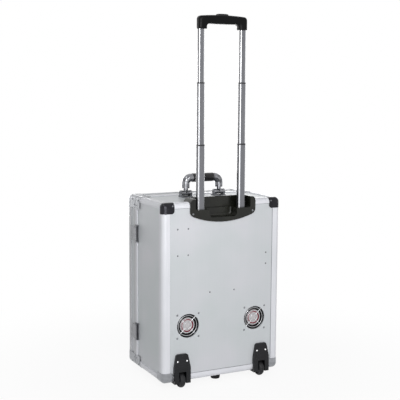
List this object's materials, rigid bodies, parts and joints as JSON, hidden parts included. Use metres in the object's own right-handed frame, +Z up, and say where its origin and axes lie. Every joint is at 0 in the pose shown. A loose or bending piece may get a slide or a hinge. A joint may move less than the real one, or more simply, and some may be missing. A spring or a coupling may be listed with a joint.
{
  "type": "portable dental unit",
  "caption": "Wheeled upright aluminium case for dental treatment, with a drawn trolley handle, cooling fans, a side-hinged lid and compressor, bottles and controls inside.",
  "frame": {"origin": "on the floor, under the middle of the unit's outline with the trolley handle drawn out", "axes": "+Z up along the trolley tubes, +Y towards the trolley and wheels, +X towards the latches; the lid faces -Y"},
  "size_m": [0.42, 0.289, 1.1281],
  "materials": {
    "panel_aluminium": "satin",
    "rail_aluminium": "satin",
    "black_chrome": "polished",
    "bright_steel": "satin",
    "rivet_aluminium": "satin",
    "hinge_steel": "satin",
    "latch_steel": "satin",
    "chrome": "polished",
    "pin_steel": "satin",
    "grip_rubber": "satin",
    "tray_plastic": "satin",
    "housing_plastic": "satin",
    "tube_aluminium": "satin",
    "collar_plastic": "satin",
    "trolley_grip_plastic": "gloss",
    "wheel_urethane": "satin",
    "foot_rubber": "matte",
    "fan_plastic": "satin",
    "bracket_steel": "satin",
    "panel_paint": "satin",
    "instrument_black": "satin",
    "gauge_steel": "satin",
    "needle_red": "satin",
    "lens_glass": "polished",
    "brass": "satin",
    "compressor_paint": "satin",
    "tank_paint": "satin",
    "bottle_plastic": "gloss",
    "cap_plastic": "satin",
    "lining_foam": "matte",
    "syringe_steel": "polished"
  },
  "bodies": {
    "case_body": {"back_panel": "panel_aluminium", "case_panels": "panel_aluminium", "edge_rails": "rail_aluminium", "body_rim": "rail_aluminium", "rear_top_corner_caps": "black_chrome", "case_corner_caps": "bright_steel", "body_rivets": "rivet_aluminium", "hinge_body_leaves": "hinge_steel", "latch_bases": "latch_steel", "handle_brackets": "chrome", "pivot_pins": "pin_steel", "trolley_tray": "tray_plastic", "case_screws": "pin_steel", "trolley_outer_tubes": "tube_aluminium", "back_brackets": "bracket_steel", "wheel_housings": "housing_plastic", "rubber_feet": "foot_rubber", "fan_frames": "fan_plastic", "fan_guards": "chrome", "machine_shelf": "bracket_steel", "control_panel": "panel_paint", "pressure_gauge": "gauge_steel", "gauge_lens": "lens_glass", "power_inlet": "instrument_black", "hose_couplings": "brass", "compressor": "compressor_paint", "compressor_mounts": "foot_rubber", "air_tank": "tank_paint", "clean_water_bottle": "bottle_plastic", "waste_bottle": "bottle_plastic", "bottle_caps": "cap_plastic", "handpiece_holder": "instrument_black"},
    "lid": {"lid_panels": "panel_aluminium", "lid_rim": "rail_aluminium", "lid_front_rails": "rail_aluminium", "lid_corner_caps": "bright_steel", "lid_rivets": "rivet_aluminium", "lid_lining": "lining_foam", "hinge_lid_leaves": "hinge_steel", "latch_keepers": "latch_steel"},
    "lower_latch": {"latch_lever_lower": "latch_steel"},
    "upper_latch": {"latch_lever_upper": "latch_steel"},
    "carry_handle": {"handle_bail": "chrome", "handle_grip": "grip_rubber"},
    "trolley_lower_stage": {"trolley_lower_tubes": "tube_aluminium", "trolley_lower_collars": "collar_plastic"},
    "trolley_middle_stage": {"trolley_middle_tubes": "tube_aluminium", "trolley_middle_collars": "collar_plastic"},
    "trolley_upper_stage": {"trolley_upper_tubes": "tube_aluminium", "trolley_grip": "trolley_grip_plastic", "grip_button_spring": "pin_steel"},
    "release_button": {"grip_button": "trolley_grip_plastic"},
    "left_wheel": {"left_wheel": "wheel_urethane"},
    "right_wheel": {"right_wheel": "wheel_urethane"},
    "left_rotor": {"left_fan_rotor": "fan_plastic"},
    "right_rotor": {"right_fan_rotor": "fan_plastic"},
    "power_switch": {"power_switch": "instrument_black"},
    "regulator_knob": {"regulator_knob": "instrument_black"},
    "gauge_needle": {"gauge_needle": "needle_red"},
    "syringe": {"air_water_syringe": "syringe_steel"}
  },
  "joints": [
    {"name": "lid_hinge", "type": "hinge", "parent": "case_body", "child": "lid", "pos_m": [-0.2064, -0.0795, 0.294], "axis": [0, 0, -1], "range_deg": [0, 110]},
    {"name": "lower_latch_pivot", "type": "hinge", "parent": "case_body", "child": "lower_latch", "pos_m": [0.2072, -0.0635, 0.136], "axis": [0, 0, 1], "range_deg": [0, 100]},
    {"name": "upper_latch_pivot", "type": "hinge", "parent": "case_body", "child": "upper_latch", "pos_m": [0.2072, -0.0635, 0.452], "axis": [0, 0, 1], "range_deg": [0, 100]},
    {"name": "carry_handle_swing", "type": "hinge", "parent": "case_body", "child": "carry_handle", "pos_m": [0, -0.0135, 0.579], "axis": [1, 0, 0], "range_deg": [-70, 70]},
    {"name": "trolley_lower_slide", "type": "slide", "parent": "case_body", "child": "trolley_lower_stage", "axis": [0, 0, 1], "range_m": [-0.1956, 0]},
    {"name": "trolley_middle_slide", "type": "slide", "parent": "trolley_lower_stage", "child": "trolley_middle_stage", "axis": [0, 0, 1], "range_m": [-0.185, 0]},
    {"name": "trolley_upper_slide", "type": "slide", "parent": "trolley_middle_stage", "child": "trolley_upper_stage", "axis": [0, 0, 1], "range_m": [-0.156, 0]},
    {"name": "release_button_press", "type": "slide", "parent": "trolley_upper_stage", "child": "release_button", "axis": [0, 0, 1], "range_m": [-0.004, 0], "stiffness_N_per_m": 400, "springref_m": 0.001, "deforming": ["grip_button_spring"]},
    {"name": "left_wheel_spin", "type": "hinge", "parent": "case_body", "child": "left_wheel", "pos_m": [-0.138, 0.1205, 0.024], "axis": [1, 0, 0], "continuous": true},
    {"name": "right_wheel_spin", "type": "hinge", "parent": "case_body", "child": "right_wheel", "pos_m": [0.138, 0.1205, 0.024], "axis": [1, 0, 0], "continuous": true},
    {"name": "left_fan_spin", "type": "hinge", "parent": "case_body", "child": "left_rotor", "pos_m": [-0.1155, 0.11, 0.191], "axis": [0, 1, 0], "continuous": true},
    {"name": "right_fan_spin", "type": "hinge", "parent": "case_body", "child": "right_rotor", "pos_m": [0.1155, 0.11, 0.191], "axis": [0, 1, 0], "continuous": true},
    {"name": "power_switch_rock", "type": "hinge", "parent": "case_body", "child": "power_switch", "pos_m": [-0.052, -0.0432, 0.461], "axis": [-1, 0, 0], "range_deg": [0, 16]},
    {"name": "regulator_turn", "type": "hinge", "parent": "case_body", "child": "regulator_knob", "pos_m": [0.052, -0.0452, 0.461], "axis": [0, 1, 0], "range_deg": [0, 270]},
    {"name": "needle_turn", "type": "hinge", "parent": "case_body", "child": "gauge_needle", "pos_m": [0, -0.0482, 0.519], "axis": [0, 1, 0], "range_deg": [0, 270], "stiffness_Nm_per_rad": 0.0002},
    {"name": "syringe_lift", "type": "slide", "parent": "case_body", "child": "syringe", "axis": [0, 0, 1], "range_m": [0, 0.04]}
  ]
}
